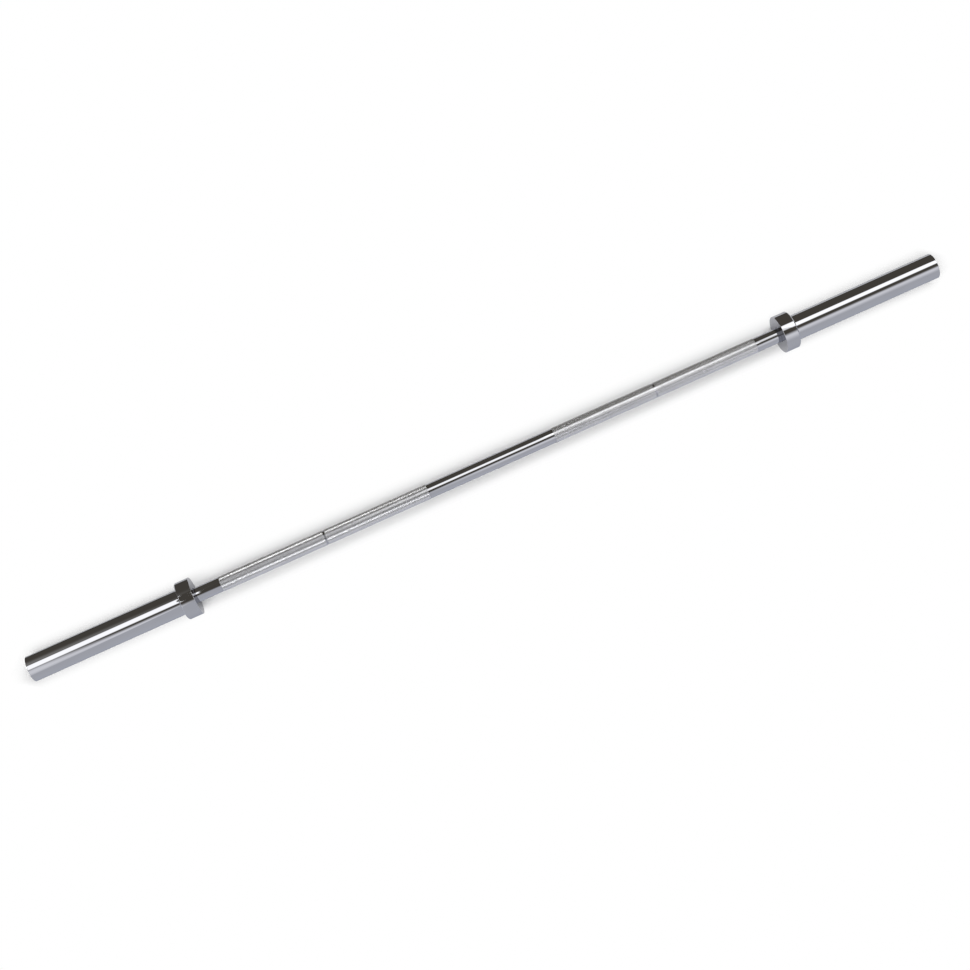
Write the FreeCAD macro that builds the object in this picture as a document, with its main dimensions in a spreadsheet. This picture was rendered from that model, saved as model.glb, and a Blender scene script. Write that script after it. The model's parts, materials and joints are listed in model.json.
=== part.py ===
import FreeCAD, Part
import os
import re

import Sketcher

# Barbell with rotating plate sleeves. The bar lies along X with its middle at the origin, and +Z is up.
# Every piece is drawn for the right-hand end, and the left-hand end is the same piece turned half round.

# Driving dimensions in millimetres
SIZES = {
    # Along the bar
    "grip_length": 1182,
    "collar_width": 28,
    "sleeve_length": 296,
    "centre_plain_length": 255,
    "neck_length": 50,
    "mark_spacing": 667,
    "mark_width": 4,
    "knurl_lead": 0.5,
    "web_thickness": 8,
    "bush_length": 36,
    "washer_thickness": 2,
    "end_float": 0.25,
    # Across the bar
    "shaft_diameter": 28,
    "knurl_rise": 0.25,
    "shoulder_height": 1.5,
    "running_clearance": 0.05,
    "bush_wall": 4.45,
    "seat_step": 1,
    "sleeve_wall": 7.5,
    "spigot_step": 1,
    "collar_height": 11.5,
    "web_clearance": 0.3,
    "washer_clearance": 0.3,
    # Snap ring at the shaft's end
    "shaft_ring_thickness": 1.2,
    "shaft_ring_width": 3,
    "shaft_groove_depth": 0.55,
    "shaft_tail_length": 3,
    "shaft_tail_clearance": 5,
    # End cap and its snap ring
    "cap_thickness": 5,
    "cap_ledge": 2,
    "cap_clearance": 0.1,
    "cap_ring_thickness": 1.5,
    "cap_ring_width": 3,
    "cap_groove_depth": 1,
    "sleeve_lip_length": 2.5,
    # Open ends of both snap rings
    "ring_gap": 4,
    "ring_lug_radius": 2,
    "ring_eye_radius": 1,
    "ring_seat_clearance": 0.05,
    "ring_groove_play": 0.1,
    # Rubber seals
    "dust_seal_section": 2.4,
    "dust_seal_clearance": 0.1,
    "seal_groove_clearance": 0.05,
    # Edges
    "collar_inner_chamfer": 0.5,
    "collar_outer_chamfer": 2,
    "web_bore_chamfer": 0.8,
    "sleeve_round": 1,
    "bush_chamfer": 0.5,
    "cap_chamfer": 0.5,
    "shaft_tail_chamfer": 1,
}

# Radii and places along the bar that follow from the driving dimensions
DERIVED = {
    # Radii, from the shaft outwards
    "shaft_radius": "shaft_diameter / 2",
    "knurl_radius": "shaft_radius + knurl_rise",
    "journal_radius": "shaft_radius - shoulder_height",
    "shaft_groove_radius": "journal_radius - shaft_groove_depth",
    "bush_bore_radius": "journal_radius + running_clearance",
    "seat_radius": "bush_bore_radius + bush_wall",
    "sleeve_bore_radius": "seat_radius - seat_step",
    "sleeve_radius": "seat_radius + sleeve_wall",
    "spigot_radius": "sleeve_radius - spigot_step",
    "collar_radius": "sleeve_radius + collar_height",
    "web_bore_radius": "shaft_radius + web_clearance",
    "washer_bore_radius": "journal_radius + washer_clearance",
    "washer_radius": "seat_radius - washer_clearance",
    "cap_bore_radius": "seat_radius + cap_ledge",
    "cap_radius": "cap_bore_radius - cap_clearance",
    "cap_groove_radius": "cap_bore_radius + cap_groove_depth",
    # Seals
    "dust_seal_radius": "dust_seal_section / 2",
    "dust_seal_ring_radius": "shaft_radius + dust_seal_clearance + dust_seal_radius",
    "dust_groove_radius": "dust_seal_ring_radius + dust_seal_radius + seal_groove_clearance",
    "dust_groove_half": "dust_seal_radius + seal_groove_clearance",
    "cap_seal_radius": "cap_ledge / 2 - seal_groove_clearance",
    "cap_seal_ring_radius": "(seat_radius + cap_bore_radius) / 2",
    # Knurled bands
    "centre_plain_end": "centre_plain_length / 2",
    "mark_start": "mark_spacing / 2 - mark_width / 2",
    "mark_end": "mark_spacing / 2 + mark_width / 2",
    "collar_start": "grip_length / 2",
    "knurl_end": "collar_start - neck_length",
    # Collar and the inner end of the sleeve
    "collar_end": "collar_start + collar_width",
    "dust_seal_place": "collar_start + web_thickness / 2",
    "sleeve_start": "collar_start + web_thickness",
    "shoulder": "sleeve_start + end_float",
    "inner_washer_end": "shoulder + washer_thickness",
    "inner_bush_start": "inner_washer_end + end_float",
    "inner_bush_end": "inner_bush_start + bush_length",
    # Outer end of the sleeve, from the end face inwards
    "sleeve_end": "collar_end + sleeve_length",
    "cap_groove_end": "sleeve_end - sleeve_lip_length",
    "cap_end": "cap_groove_end - cap_ring_thickness - ring_groove_play",
    "cap_start": "cap_end - cap_thickness",
    "cap_seal_place": "cap_start - cap_seal_radius",
    "ledge": "cap_seal_place - cap_seal_radius",
    "shaft_end": "cap_start - shaft_tail_clearance",
    "shaft_groove_end": "shaft_end - shaft_tail_length",
    "shaft_ring_start": "shaft_groove_end - shaft_ring_thickness",
    "shaft_groove_start": "shaft_ring_start - ring_groove_play",
    "outer_washer_start": "shaft_ring_start - washer_thickness",
    "outer_bush_end": "outer_washer_start - end_float",
    "outer_bush_start": "outer_bush_end - bush_length",
    # Snap rings
    "shaft_ring_inner": "shaft_groove_radius + ring_seat_clearance",
    "shaft_ring_outer": "shaft_ring_inner + shaft_ring_width",
    "cap_ring_outer": "cap_groove_radius - ring_seat_clearance",
    "cap_ring_inner": "cap_ring_outer - cap_ring_width",
    "lug_side": "ring_gap / 2 + ring_lug_radius",
    "shaft_ring_lug": "sqrt((shaft_ring_inner + ring_lug_radius)^2 - lug_side^2)",
    "cap_ring_lug": "sqrt((cap_ring_outer - ring_lug_radius)^2 - lug_side^2)",
}

SIDES = {"left": 180, "right": 0}

doc = FreeCAD.newDocument("Barbell")

sheet = doc.addObject("Spreadsheet::Sheet", "Sizes")
for row, (size_name, size_value) in enumerate(SIZES.items(), start=1):
    sheet.set(f"A{row}", size_name)
    sheet.set(f"B{row}", str(size_value))
    sheet.setAlias(f"B{row}", size_name)
doc.recompute()


def formula(text):
    """Return an expression in which each named size points to its place in the document."""
    def place(match):
        name = match.group()
        if name in SIZES:
            return f"Sizes.{name}"
        if name in DERIVED:
            return f"Derived.{name}"
        return name
    return re.sub(r"[a-z]\w*", place, text)


derived = doc.addObject("App::VarSet", "Derived")
for derived_name, derived_text in DERIVED.items():
    derived.addProperty("App::PropertyFloat", derived_name)
    derived.setExpression(derived_name, formula(derived_text))
doc.recompute()


def value(text):
    """Return the present value of a named size or of an expression on named sizes."""
    return float(derived.evalExpression(formula(text)))


def origin_plane(body, role):
    """Return one of a body's own origin planes."""
    return next(feature for feature in body.Origin.OriginFeatures if feature.Role == role)


def new_body(label, turn=0):
    """Start a piece, turned about Z for its end of the bar."""
    body = doc.addObject("PartDesign::Body", label)
    body.Label = label
    body.Placement = FreeCAD.Placement(FreeCAD.Vector(), FreeCAD.Rotation(FreeCAD.Vector(0, 0, 1), turn))
    return body


def new_sketch(body, name, role):
    """Start a sketch on one of a body's origin planes."""
    sketch = body.newObject("Sketcher::SketchObject", f"{body.Label}_{name}")
    sketch.AttachmentSupport = [(origin_plane(body, role), "")]
    sketch.MapMode = "FlatFace"
    return sketch


def dimension(sketch, name, constraint, text):
    """Add a dimension to a sketch and bind it to an expression."""
    index = sketch.addConstraint(constraint)
    sketch.renameConstraint(index, name)
    sketch.setExpression(f"Constraints.{name}", formula(text))


def place_point(sketch, name, geometry, point, across, up):
    """Tie a point of a sketch to expressions for its distances from the origin."""
    for axis, text in (("DistanceX", across), ("DistanceY", up)):
        constraint = Sketcher.Constraint(axis, -1, 1, geometry, point, value(text))
        dimension(sketch, f"{name}_{axis}", constraint, text)


def draw_outline(sketch, points):
    """Draw a closed outline of straight lines through points given as pairs of expressions."""
    corners = [FreeCAD.Vector(value(across), value(up), 0) for across, up in points]
    count = len(corners)
    for start, corner in enumerate(corners):
        sketch.addGeometry(Part.LineSegment(corner, corners[(start + 1) % count]))
    for start, (across, up) in enumerate(points):
        sketch.addConstraint(Sketcher.Constraint("Coincident", start, 2, (start + 1) % count, 1))
        place_point(sketch, f"corner{start}", start, 1, across, up)


def draw_circle(sketch, name, across, up, radius):
    """Draw a circle whose centre and radius are expressions."""
    centre = FreeCAD.Vector(value(across), value(up), 0)
    circle = sketch.addGeometry(Part.Circle(centre, FreeCAD.Vector(0, 0, 1), value(radius)))
    place_point(sketch, name, circle, 3, across, up)
    dimension(sketch, f"{name}_radius", Sketcher.Constraint("Radius", circle, value(radius)), radius)


def revolve(body, sketch):
    """Turn a sketch a whole turn about the bar's axis."""
    revolution = body.newObject("PartDesign::Revolution", f"{body.Label}_turned")
    revolution.Profile = sketch
    revolution.ReferenceAxis = (sketch, ["H_Axis"])
    revolution.Angle = 360
    doc.recompute()
    return revolution


def turned_piece(label, turn, points):
    """Make a turned piece from an outline of places along the bar and radii."""
    body = new_body(label, turn)
    sketch = new_sketch(body, "outline", "XY_Plane")
    draw_outline(sketch, points)
    revolve(body, sketch)
    return body


def round_rim(body, place, radius, round_size):
    """Round the edge of a turned piece that has this place along the bar and this radius."""
    base = body.Tip
    names = []
    for index, edge in enumerate(base.Shape.Edges, start=1):
        if not isinstance(edge.Curve, Part.Circle):
            continue
        rim = FreeCAD.Vector(edge.Curve.Center.x, edge.Curve.Radius, 0)
        if rim.isEqual(FreeCAD.Vector(value(place), value(radius), 0), Part.Precision.confusion()):
            names.append(f"Edge{index}")
    fillet = body.newObject("PartDesign::Fillet", f"{body.Label}_rim")
    fillet.Base = (base, names)
    fillet.setExpression("Radius", formula(round_size))
    doc.recompute()


def rubber_ring(label, turn, place, ring_radius, section_radius):
    """Make a round-section rubber ring about the bar's axis."""
    body = new_body(label, turn)
    sketch = new_sketch(body, "section", "XY_Plane")
    draw_circle(sketch, "section", place, ring_radius, section_radius)
    revolve(body, sketch)
    return body


def ring_sketch(body, name, start):
    """Start a sketch across the bar at a snap ring's inner face."""
    sketch = new_sketch(body, name, "YZ_Plane")
    sketch.setExpression("AttachmentOffset.Base.z", formula(start))
    return sketch


def ring_pad(body, sketch, thickness):
    """Thicken a snap ring's sketch outwards along the bar."""
    pad = body.newObject("PartDesign::Pad", f"{sketch.Name}_pad")
    pad.Profile = sketch
    pad.setExpression("Length", formula(thickness))
    doc.recompute()


def ring_cut(body, sketch):
    """Cut a sketch right through a snap ring, and check that the cut takes metal away."""
    before = body.Tip.Shape.Volume
    pocket = body.newObject("PartDesign::Pocket", f"{sketch.Name}_cut")
    pocket.Profile = sketch
    pocket.Type = "ThroughAll"
    pocket.Reversed = True
    doc.recompute()
    if not pocket.Shape.Volume < before:
        raise ValueError(f"{pocket.Name} cuts nothing")


def snap_ring(label, turn, start, thickness, inner, outer, lug):
    """Make an open spring ring with a plier lug and an eye at each of its two ends."""
    body = new_body(label, turn)
    hoop = ring_sketch(body, "hoop", start)
    draw_circle(hoop, "inner", "0", "0", inner)
    draw_circle(hoop, "outer", "0", "0", outer)
    ring_pad(body, hoop, thickness)
    lugs = ring_sketch(body, "lugs", start)
    draw_circle(lugs, "near", "lug_side", lug, "ring_lug_radius")
    draw_circle(lugs, "far", "-lug_side", lug, "ring_lug_radius")
    ring_pad(body, lugs, thickness)
    gap = ring_sketch(body, "gap", start)
    gap_top = f"{outer} + ring_lug_radius * 2"
    gap_side = "ring_gap / 2"
    draw_outline(gap, [(gap_side, "0"), (gap_side, gap_top), (f"-{gap_side}", gap_top), (f"-{gap_side}", "0")])
    ring_cut(body, gap)
    eyes = ring_sketch(body, "eyes", start)
    draw_circle(eyes, "near", "lug_side", lug, "ring_eye_radius")
    draw_circle(eyes, "far", "-lug_side", lug, "ring_eye_radius")
    ring_cut(body, eyes)
    return body


def make_shaft():
    """Make the shaft: half of it is turned from the middle outwards, then mirrored."""
    body = new_body("shaft")
    sketch = new_sketch(body, "outline", "XY_Plane")
    draw_outline(sketch, [
        ("0", "0"),
        ("0", "shaft_radius"),
        ("centre_plain_end", "shaft_radius"),
        ("centre_plain_end + knurl_lead", "knurl_radius"),
        ("mark_start - knurl_lead", "knurl_radius"),
        ("mark_start", "shaft_radius"),
        ("mark_end", "shaft_radius"),
        ("mark_end + knurl_lead", "knurl_radius"),
        ("knurl_end - knurl_lead", "knurl_radius"),
        ("knurl_end", "shaft_radius"),
        ("shoulder", "shaft_radius"),
        ("shoulder", "journal_radius"),
        ("shaft_groove_start", "journal_radius"),
        ("shaft_groove_start", "shaft_groove_radius"),
        ("shaft_groove_end", "shaft_groove_radius"),
        ("shaft_groove_end", "journal_radius"),
        ("shaft_end - shaft_tail_chamfer", "journal_radius"),
        ("shaft_end", "journal_radius - shaft_tail_chamfer"),
        ("shaft_end", "0"),
    ])
    half = revolve(body, sketch)
    mirror = body.newObject("PartDesign::Mirrored", "shaft_mirrored")
    mirror.Originals = [half]
    mirror.MirrorPlane = (origin_plane(body, "YZ_Plane"), [""])
    body.Tip = mirror
    doc.recompute()
    return body


def make_sleeve(side, turn):
    """Make the plate sleeve: a tube with a coned spigot for the collar, two bush seats and the cap's recess."""
    body = turned_piece(f"{side}_sleeve", turn, [
        ("sleeve_start", "seat_radius"),
        ("inner_bush_end", "seat_radius"),
        ("inner_bush_end", "sleeve_bore_radius"),
        ("outer_bush_start", "sleeve_bore_radius"),
        ("outer_bush_start", "seat_radius"),
        ("ledge", "seat_radius"),
        ("ledge", "cap_bore_radius"),
        ("cap_end", "cap_bore_radius"),
        ("cap_end", "cap_groove_radius"),
        ("cap_groove_end", "cap_groove_radius"),
        ("cap_groove_end", "cap_bore_radius"),
        ("sleeve_end", "cap_bore_radius"),
        ("sleeve_end", "sleeve_radius"),
        ("collar_end", "sleeve_radius"),
        ("collar_end - spigot_step", "spigot_radius"),
        ("sleeve_start", "spigot_radius"),
    ])
    round_rim(body, "sleeve_end", "sleeve_radius", "sleeve_round")
    return body


def make_collar(side, turn):
    """Make the collar: a ring on the sleeve's spigot, with a web around the shaft that holds the dust seal."""
    return turned_piece(f"{side}_collar", turn, [
        ("collar_start", "web_bore_radius + web_bore_chamfer"),
        ("collar_start + web_bore_chamfer", "web_bore_radius"),
        ("dust_seal_place - dust_groove_half", "web_bore_radius"),
        ("dust_seal_place - dust_groove_half", "dust_groove_radius"),
        ("dust_seal_place + dust_groove_half", "dust_groove_radius"),
        ("dust_seal_place + dust_groove_half", "web_bore_radius"),
        ("sleeve_start", "web_bore_radius"),
        ("sleeve_start", "spigot_radius"),
        ("collar_end - spigot_step", "spigot_radius"),
        ("collar_end", "sleeve_radius"),
        ("collar_end", "collar_radius - collar_outer_chamfer"),
        ("collar_end - collar_outer_chamfer", "collar_radius"),
        ("collar_start + collar_inner_chamfer", "collar_radius"),
        ("collar_start", "collar_radius - collar_inner_chamfer"),
    ])


def make_bush(side, turn, name, start, end):
    """Make a plain bronze bush with chamfered outer edges."""
    return turned_piece(f"{side}_{name}", turn, [
        (start, "bush_bore_radius"),
        (end, "bush_bore_radius"),
        (end, "seat_radius - bush_chamfer"),
        (f"{end} - bush_chamfer", "seat_radius"),
        (f"{start} + bush_chamfer", "seat_radius"),
        (start, "seat_radius - bush_chamfer"),
    ])


def make_washer(side, turn, name, start, end):
    """Make a flat thrust washer that rides on the shaft's journal."""
    return turned_piece(f"{side}_{name}", turn, [
        (start, "washer_bore_radius"),
        (end, "washer_bore_radius"),
        (end, "washer_radius"),
        (start, "washer_radius"),
    ])


def make_end_cap(side, turn):
    """Make the plate that closes the sleeve's outer end."""
    return turned_piece(f"{side}_end_cap", turn, [
        ("cap_start", "0"),
        ("cap_start", "cap_radius"),
        ("cap_end - cap_chamfer", "cap_radius"),
        ("cap_end", "cap_radius - cap_chamfer"),
        ("cap_end", "0"),
    ])


pieces = [make_shaft()]
for side, turn in SIDES.items():
    pieces += [
        make_sleeve(side, turn),
        make_collar(side, turn),
        make_bush(side, turn, "inner_bush", "inner_bush_start", "inner_bush_end"),
        make_bush(side, turn, "outer_bush", "outer_bush_start", "outer_bush_end"),
        make_washer(side, turn, "inner_thrust_washer", "shoulder", "inner_washer_end"),
        make_washer(side, turn, "outer_thrust_washer", "outer_washer_start", "shaft_ring_start"),
        rubber_ring(
            f"{side}_dust_seal", turn,
            "dust_seal_place", "dust_seal_ring_radius", "dust_seal_radius",
        ),
        rubber_ring(
            f"{side}_end_cap_seal", turn,
            "cap_seal_place", "cap_seal_ring_radius", "cap_seal_radius",
        ),
        snap_ring(
            f"{side}_shaft_snap_ring", turn, "shaft_ring_start", "shaft_ring_thickness",
            "shaft_ring_inner", "shaft_ring_outer", "shaft_ring_lug",
        ),
        make_end_cap(side, turn),
        snap_ring(
            f"{side}_end_cap_snap_ring", turn, "cap_end", "cap_ring_thickness",
            "cap_ring_inner", "cap_ring_outer", "cap_ring_lug",
        ),
    ]

doc.recompute()

# Every object has to be sound before any piece is written
for item in doc.Objects:
    if {"Invalid", "Error"} & set(item.State):
        raise ValueError(f"{item.Name} failed: {item.State}")
for piece in pieces:
    if piece.Shape.isNull() or not piece.Shape.isValid() or len(piece.Shape.Solids) != 1:
        raise ValueError(f"{piece.Label} is not one sound solid")

os.makedirs("parts", exist_ok=True)
for piece in pieces:
    piece.Shape.exportStep(f"parts/{piece.Label}.step")
    print(f"{piece.Label}: {piece.Shape.Volume:.1f} mm3")
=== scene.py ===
"""Looks of the barbell: chromed turning, knurled grip bands, bearing metals and rubber.

It stands in a plain pale studio, lit and seen as in the photograph.
"""

import functools
import json
import logging
import math
from dataclasses import dataclass, field
from enum import Enum
from typing import Any

import bpy
import numpy as np
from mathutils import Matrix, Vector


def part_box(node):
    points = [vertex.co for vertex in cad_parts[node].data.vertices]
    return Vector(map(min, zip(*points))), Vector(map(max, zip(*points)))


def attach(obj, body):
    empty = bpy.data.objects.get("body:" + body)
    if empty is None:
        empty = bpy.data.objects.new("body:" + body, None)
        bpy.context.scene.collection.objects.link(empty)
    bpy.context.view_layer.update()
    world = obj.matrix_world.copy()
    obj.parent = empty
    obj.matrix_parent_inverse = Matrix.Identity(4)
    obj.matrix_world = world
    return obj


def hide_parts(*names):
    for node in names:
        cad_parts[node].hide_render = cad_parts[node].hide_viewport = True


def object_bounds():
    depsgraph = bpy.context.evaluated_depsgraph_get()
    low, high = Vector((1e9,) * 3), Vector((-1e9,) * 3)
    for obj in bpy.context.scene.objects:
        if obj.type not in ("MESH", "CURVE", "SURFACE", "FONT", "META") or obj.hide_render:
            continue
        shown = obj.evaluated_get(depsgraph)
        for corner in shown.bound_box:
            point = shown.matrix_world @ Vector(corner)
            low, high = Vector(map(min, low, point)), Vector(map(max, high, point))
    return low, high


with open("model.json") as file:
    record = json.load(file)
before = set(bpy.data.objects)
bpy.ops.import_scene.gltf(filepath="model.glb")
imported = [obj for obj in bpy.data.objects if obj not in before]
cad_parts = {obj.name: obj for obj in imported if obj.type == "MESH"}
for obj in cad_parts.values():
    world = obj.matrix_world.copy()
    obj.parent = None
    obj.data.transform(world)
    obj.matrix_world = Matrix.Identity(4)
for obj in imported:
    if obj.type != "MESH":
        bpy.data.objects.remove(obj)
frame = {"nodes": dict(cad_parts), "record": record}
cad_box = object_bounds()

MM = 0.001
FULL_TURN = 2 * math.pi
QUARTER_TURN = math.pi / 2
NOISE_MIDDLE = 0.5
WHITE = (1.0, 1.0, 1.0, 1.0)

# Weights of the coordinates for the distance from the bar's middle and from its axis.
FROM_MIDDLE = (1, 0, 0)
FROM_AXIS = (0, 1, 1)

# Sockets of a Mix node that blends colours.
MIX_FIRST = 6
MIX_SECOND = 7
MIX_RESULT = 2

Triple = tuple[float, float, float]
Colour = Triple
Range = tuple[float, float]
Corners = list[tuple[float, float]]
Tint = Colour | bpy.types.NodeSocket
log = logging.getLogger("barbell")


class Side(Enum):
    """End of the bar, with the way it points along X."""

    LEFT = -1
    RIGHT = 1

    def node(self, name: str) -> str:
        """Return the CAD name of this side's copy of a piece."""
        return f"{self.name.lower()}_{name}"


class Grain(Enum):
    """Way the fine lines of a finish run on a turned piece."""

    AROUND = "around"
    ALONG = "along"


class LampUse(Enum):
    """What a lamp is there for: bright bands in polished metal, or light on everything else."""

    METAL = "metal"
    FLOOR = "floor"


class Amount:
    """A shader value in Python expressions: each operator adds one Math node to the value's sheet."""

    def __init__(self, sheet: "ShaderSheet", socket: bpy.types.NodeSocket) -> None:
        """Wrap an output socket of a node on the sheet."""
        self.sheet = sheet
        self.socket = socket

    def __add__(self, other: "Amount | float") -> "Amount":
        """Add a value."""
        return self.sheet.math("ADD", self, other)

    def __radd__(self, other: float) -> "Amount":
        """Add to a number."""
        return self.sheet.math("ADD", other, self)

    def __sub__(self, other: "Amount | float") -> "Amount":
        """Take a value away."""
        return self.sheet.math("SUBTRACT", self, other)

    def __rsub__(self, other: float) -> "Amount":
        """Take away from a number."""
        return self.sheet.math("SUBTRACT", other, self)

    def __mul__(self, other: "Amount | float") -> "Amount":
        """Multiply by a value."""
        return self.sheet.math("MULTIPLY", self, other)

    def __rmul__(self, other: float) -> "Amount":
        """Multiply a number."""
        return self.sheet.math("MULTIPLY", other, self)

    def capped(self) -> "Amount":
        """Keep the value at or below one."""
        return self.sheet.math("MINIMUM", self, 1.0)


class ShaderSheet:
    """Node tree of a material, a lamp or the world, filled from nothing."""

    def __init__(self, tree: bpy.types.NodeTree) -> None:
        """Clear a node tree for new nodes."""
        tree.nodes.clear()
        self.tree = tree

    def add(
        self,
        kind: str,
        settings: dict[str, Any] | None = None,
        inputs: dict[str | int, Any] | None = None,
    ) -> bpy.types.Node:
        """Add one node.

        Args:
            kind: Blender's name of the node type.
            settings: Properties that are set first, such as an operation.
            inputs: Values, sockets or amounts by the name or number of the input.

        Returns:
            The new node.
        """
        node = self.tree.nodes.new(kind)
        for name, setting in (settings or {}).items():
            setattr(node, name, setting)
        for name, value in (inputs or {}).items():
            if isinstance(value, Amount):
                value = value.socket
            if isinstance(value, bpy.types.NodeSocket):
                self.tree.links.new(value, node.inputs[name])
            else:
                node.inputs[name].default_value = value
        return node

    def math(self, operation: str, first: Amount | float, second: Amount | float) -> Amount:
        """Add a Math node on two values."""
        node = self.add("ShaderNodeMath", {"operation": operation}, {0: first, 1: second})
        return Amount(self, node.outputs[0])

    def point(self) -> bpy.types.NodeSocket:
        """Return the object coordinates of the shaded point, in metres."""
        return self.add("ShaderNodeTexCoord").outputs["Object"]

    def part(self, axis: str) -> Amount:
        """Return one coordinate of the shaded point."""
        return Amount(self, self.add("ShaderNodeSeparateXYZ", inputs={0: self.point()}).outputs[axis])

    def distance(self, weights: Triple) -> Amount:
        """Measure how far the shaded point lies from the origin.

        Args:
            weights: Share of each coordinate that counts.

        Returns:
            The length of the weighted coordinates, in metres.
        """
        weighted = {0: self.point(), 1: weights}
        scaled = self.add("ShaderNodeVectorMath", {"operation": "MULTIPLY"}, weighted)
        length = self.add("ShaderNodeVectorMath", {"operation": "LENGTH"}, {0: scaled.outputs[0]})
        return Amount(self, length.outputs["Value"])

    def noise(self, grain: Triple, detail: float) -> Amount:
        """Add cloudy noise.

        Args:
            grain: Size in millimetres of the noise's grain along each axis.
            detail: Number of finer layers.

        Returns:
            Noise of about 0 to 1.
        """
        scale = tuple(1 / (size * MM) for size in grain)
        mapped = self.add("ShaderNodeMapping", inputs={"Vector": self.point(), "Scale": scale})
        inputs = {"Vector": mapped.outputs[0], "Scale": 1.0, "Detail": detail}
        return Amount(self, self.add("ShaderNodeTexNoise", inputs=inputs).outputs[0])

    def steps(self, value: Amount, low: float, high: float) -> Amount:
        """Rise smoothly from 0 to 1.

        Args:
            value: The amount that decides.
            low: Value up to which the result is 0.
            high: Value from which it is 1.

        Returns:
            The smooth step.
        """
        inputs = {"Value": value, "From Min": low, "From Max": high}
        node = self.add("ShaderNodeMapRange", {"interpolation_type": "SMOOTHSTEP"}, inputs)
        return Amount(self, node.outputs[0])

    def blend(self, share: Amount, first: Tint, second: Tint) -> bpy.types.NodeSocket:
        """Blend two colours.

        Args:
            share: Share of the second colour.
            first: Colour where the share is 0.
            second: Colour where the share is 1.

        Returns:
            The blended colour.
        """
        ends = [(*tint, 1.0) if isinstance(tint, tuple) else tint for tint in (first, second)]
        inputs = {0: share, MIX_FIRST: ends[0], MIX_SECOND: ends[1]}
        return self.add("ShaderNodeMix", {"data_type": "RGBA"}, inputs).outputs[MIX_RESULT]

    def bump(self, height: Amount, depth: float) -> bpy.types.NodeSocket:
        """Return normals that follow a height, whose full range is a depth in millimetres."""
        return self.add("ShaderNodeBump", inputs={"Height": height, "Distance": depth * MM}).outputs[0]

    def seen(self) -> Amount:
        """Tell rays that show a surface from rays that only light it.

        Returns:
            1 for rays from the camera, and for rays that polished metal or glass sends on, else 0.
        """
        rays = self.add("ShaderNodeLightPath").outputs
        names = ("Is Camera Ray", "Is Glossy Ray", "Is Transmission Ray")
        camera, mirrored, passed = (Amount(self, rays[name]) for name in names)
        return (camera + mirrored + passed).capped()

    def surface(self, shader: bpy.types.Node) -> None:
        """Use a shader for the whole surface."""
        self.add("ShaderNodeOutputMaterial", inputs={"Surface": shader.outputs[0]})


def new_sheet(name: str) -> tuple[bpy.types.Material, ShaderSheet]:
    """Start an empty material.

    Args:
        name: Name of the material.

    Returns:
        The material and the sheet of its nodes.
    """
    material = bpy.data.materials.new(name)
    material.use_nodes = True
    return material, ShaderSheet(material.node_tree)


@dataclass(frozen=True)
class Chrome:
    """Polished chrome: a mirror with fine polishing lines and faint hazy patches.

    Lengths are in millimetres. The lines are noise drawn out along the grain, coarser where they run
    along the bar, and the haze is round noise.
    """

    name: str
    colour: Colour = (0.50, 0.505, 0.53)
    haze_colour: Colour = (0.46, 0.465, 0.49)
    edge_tint: Colour = (0.62, 0.62, 0.64)
    roughness: float = 0.012
    haze: float = 0.01
    line_roughness: float = 0.006
    grain: Grain = Grain.AROUND
    line_pitch: float = 0.35
    line_length: float = 30.0
    line_depth: float = 0.0001
    line_layers: float = 2.0
    along_scale: float = 4.0
    haze_size: float = 45.0
    haze_layers: float = 4.0

    @functools.cache
    def material(self) -> bpy.types.Material:
        """Make the material, once.

        Returns:
            The material.
        """
        material, sheet = new_sheet(self.name)
        pitch, length = self.line_pitch, self.line_length
        wide, long = pitch * self.along_scale, length * self.along_scale
        lines = {Grain.AROUND: (pitch, length, length), Grain.ALONG: (long, wide, wide)}
        streaks = sheet.noise(lines[self.grain], self.line_layers)
        haze = sheet.noise((self.haze_size,) * 3, self.haze_layers)
        rough = self.roughness + self.haze * haze
        shader = sheet.add("ShaderNodeBsdfPrincipled", inputs={
            "Base Color": sheet.blend(haze, self.colour, self.haze_colour),
            "Metallic": 1.0,
            "Specular Tint": (*self.edge_tint, 1.0),
            "Roughness": rough + self.line_roughness * (streaks - NOISE_MIDDLE),
            "Normal": sheet.bump(streaks, self.line_depth),
        })
        sheet.surface(shader)
        return material


@dataclass(frozen=True)
class KnurlChrome:
    """Chrome over cut diamonds: satin, with its colour darkened into the grooves as painted shade, and
    lighter on the crests, where wear rubs it brighter in patches.

    Lengths are in millimetres. The height above the groove comes from the distance to the bar's axis.
    """

    name: str
    root_radius: float
    crest_radius: float
    crest_colour: Colour = (0.69, 0.693, 0.705)
    # The groove colour is painted shade: the colour darkens with depth below the crests.
    groove_shade_colour: Colour = (0.41, 0.413, 0.425)
    crest_roughness: float = 0.16
    groove_roughness: float = 0.28
    # Share of the crest colour and smoothness that height alone gives; its colour part is painted shade.
    least_polish: float = 0.6
    wear_polish: float = 0.6
    wear_size: float = 25.0
    wear_layers: float = 3.0
    grit_size: float = 0.25
    grit_depth: float = 0.002
    grit_layers: float = 2.0

    @functools.cache
    def material(self) -> bpy.types.Material:
        """Make the material, once.

        Returns:
            The material.
        """
        material, sheet = new_sheet(self.name)
        radius = sheet.distance(FROM_AXIS)
        height = sheet.steps(radius, self.root_radius * MM, self.crest_radius * MM)
        wear = sheet.noise((self.wear_size,) * 3, self.wear_layers)
        grit = sheet.noise((self.grit_size,) * 3, self.grit_layers)
        # Painted shade and wear: the colour darkens down into the grooves, and wear noise lightens the
        # crests in patches; the same share makes the crests smoother.
        polish_and_shade = height * (self.least_polish + self.wear_polish * wear)
        shader = sheet.add("ShaderNodeBsdfPrincipled", inputs={
            "Base Color": sheet.blend(polish_and_shade.capped(), self.groove_shade_colour, self.crest_colour),
            "Metallic": 1.0,
            "Roughness": self.groove_roughness - (self.groove_roughness - self.crest_roughness) * polish_and_shade,
            "Normal": sheet.bump(grit, self.grit_depth),
        })
        sheet.surface(shader)
        return material


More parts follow.
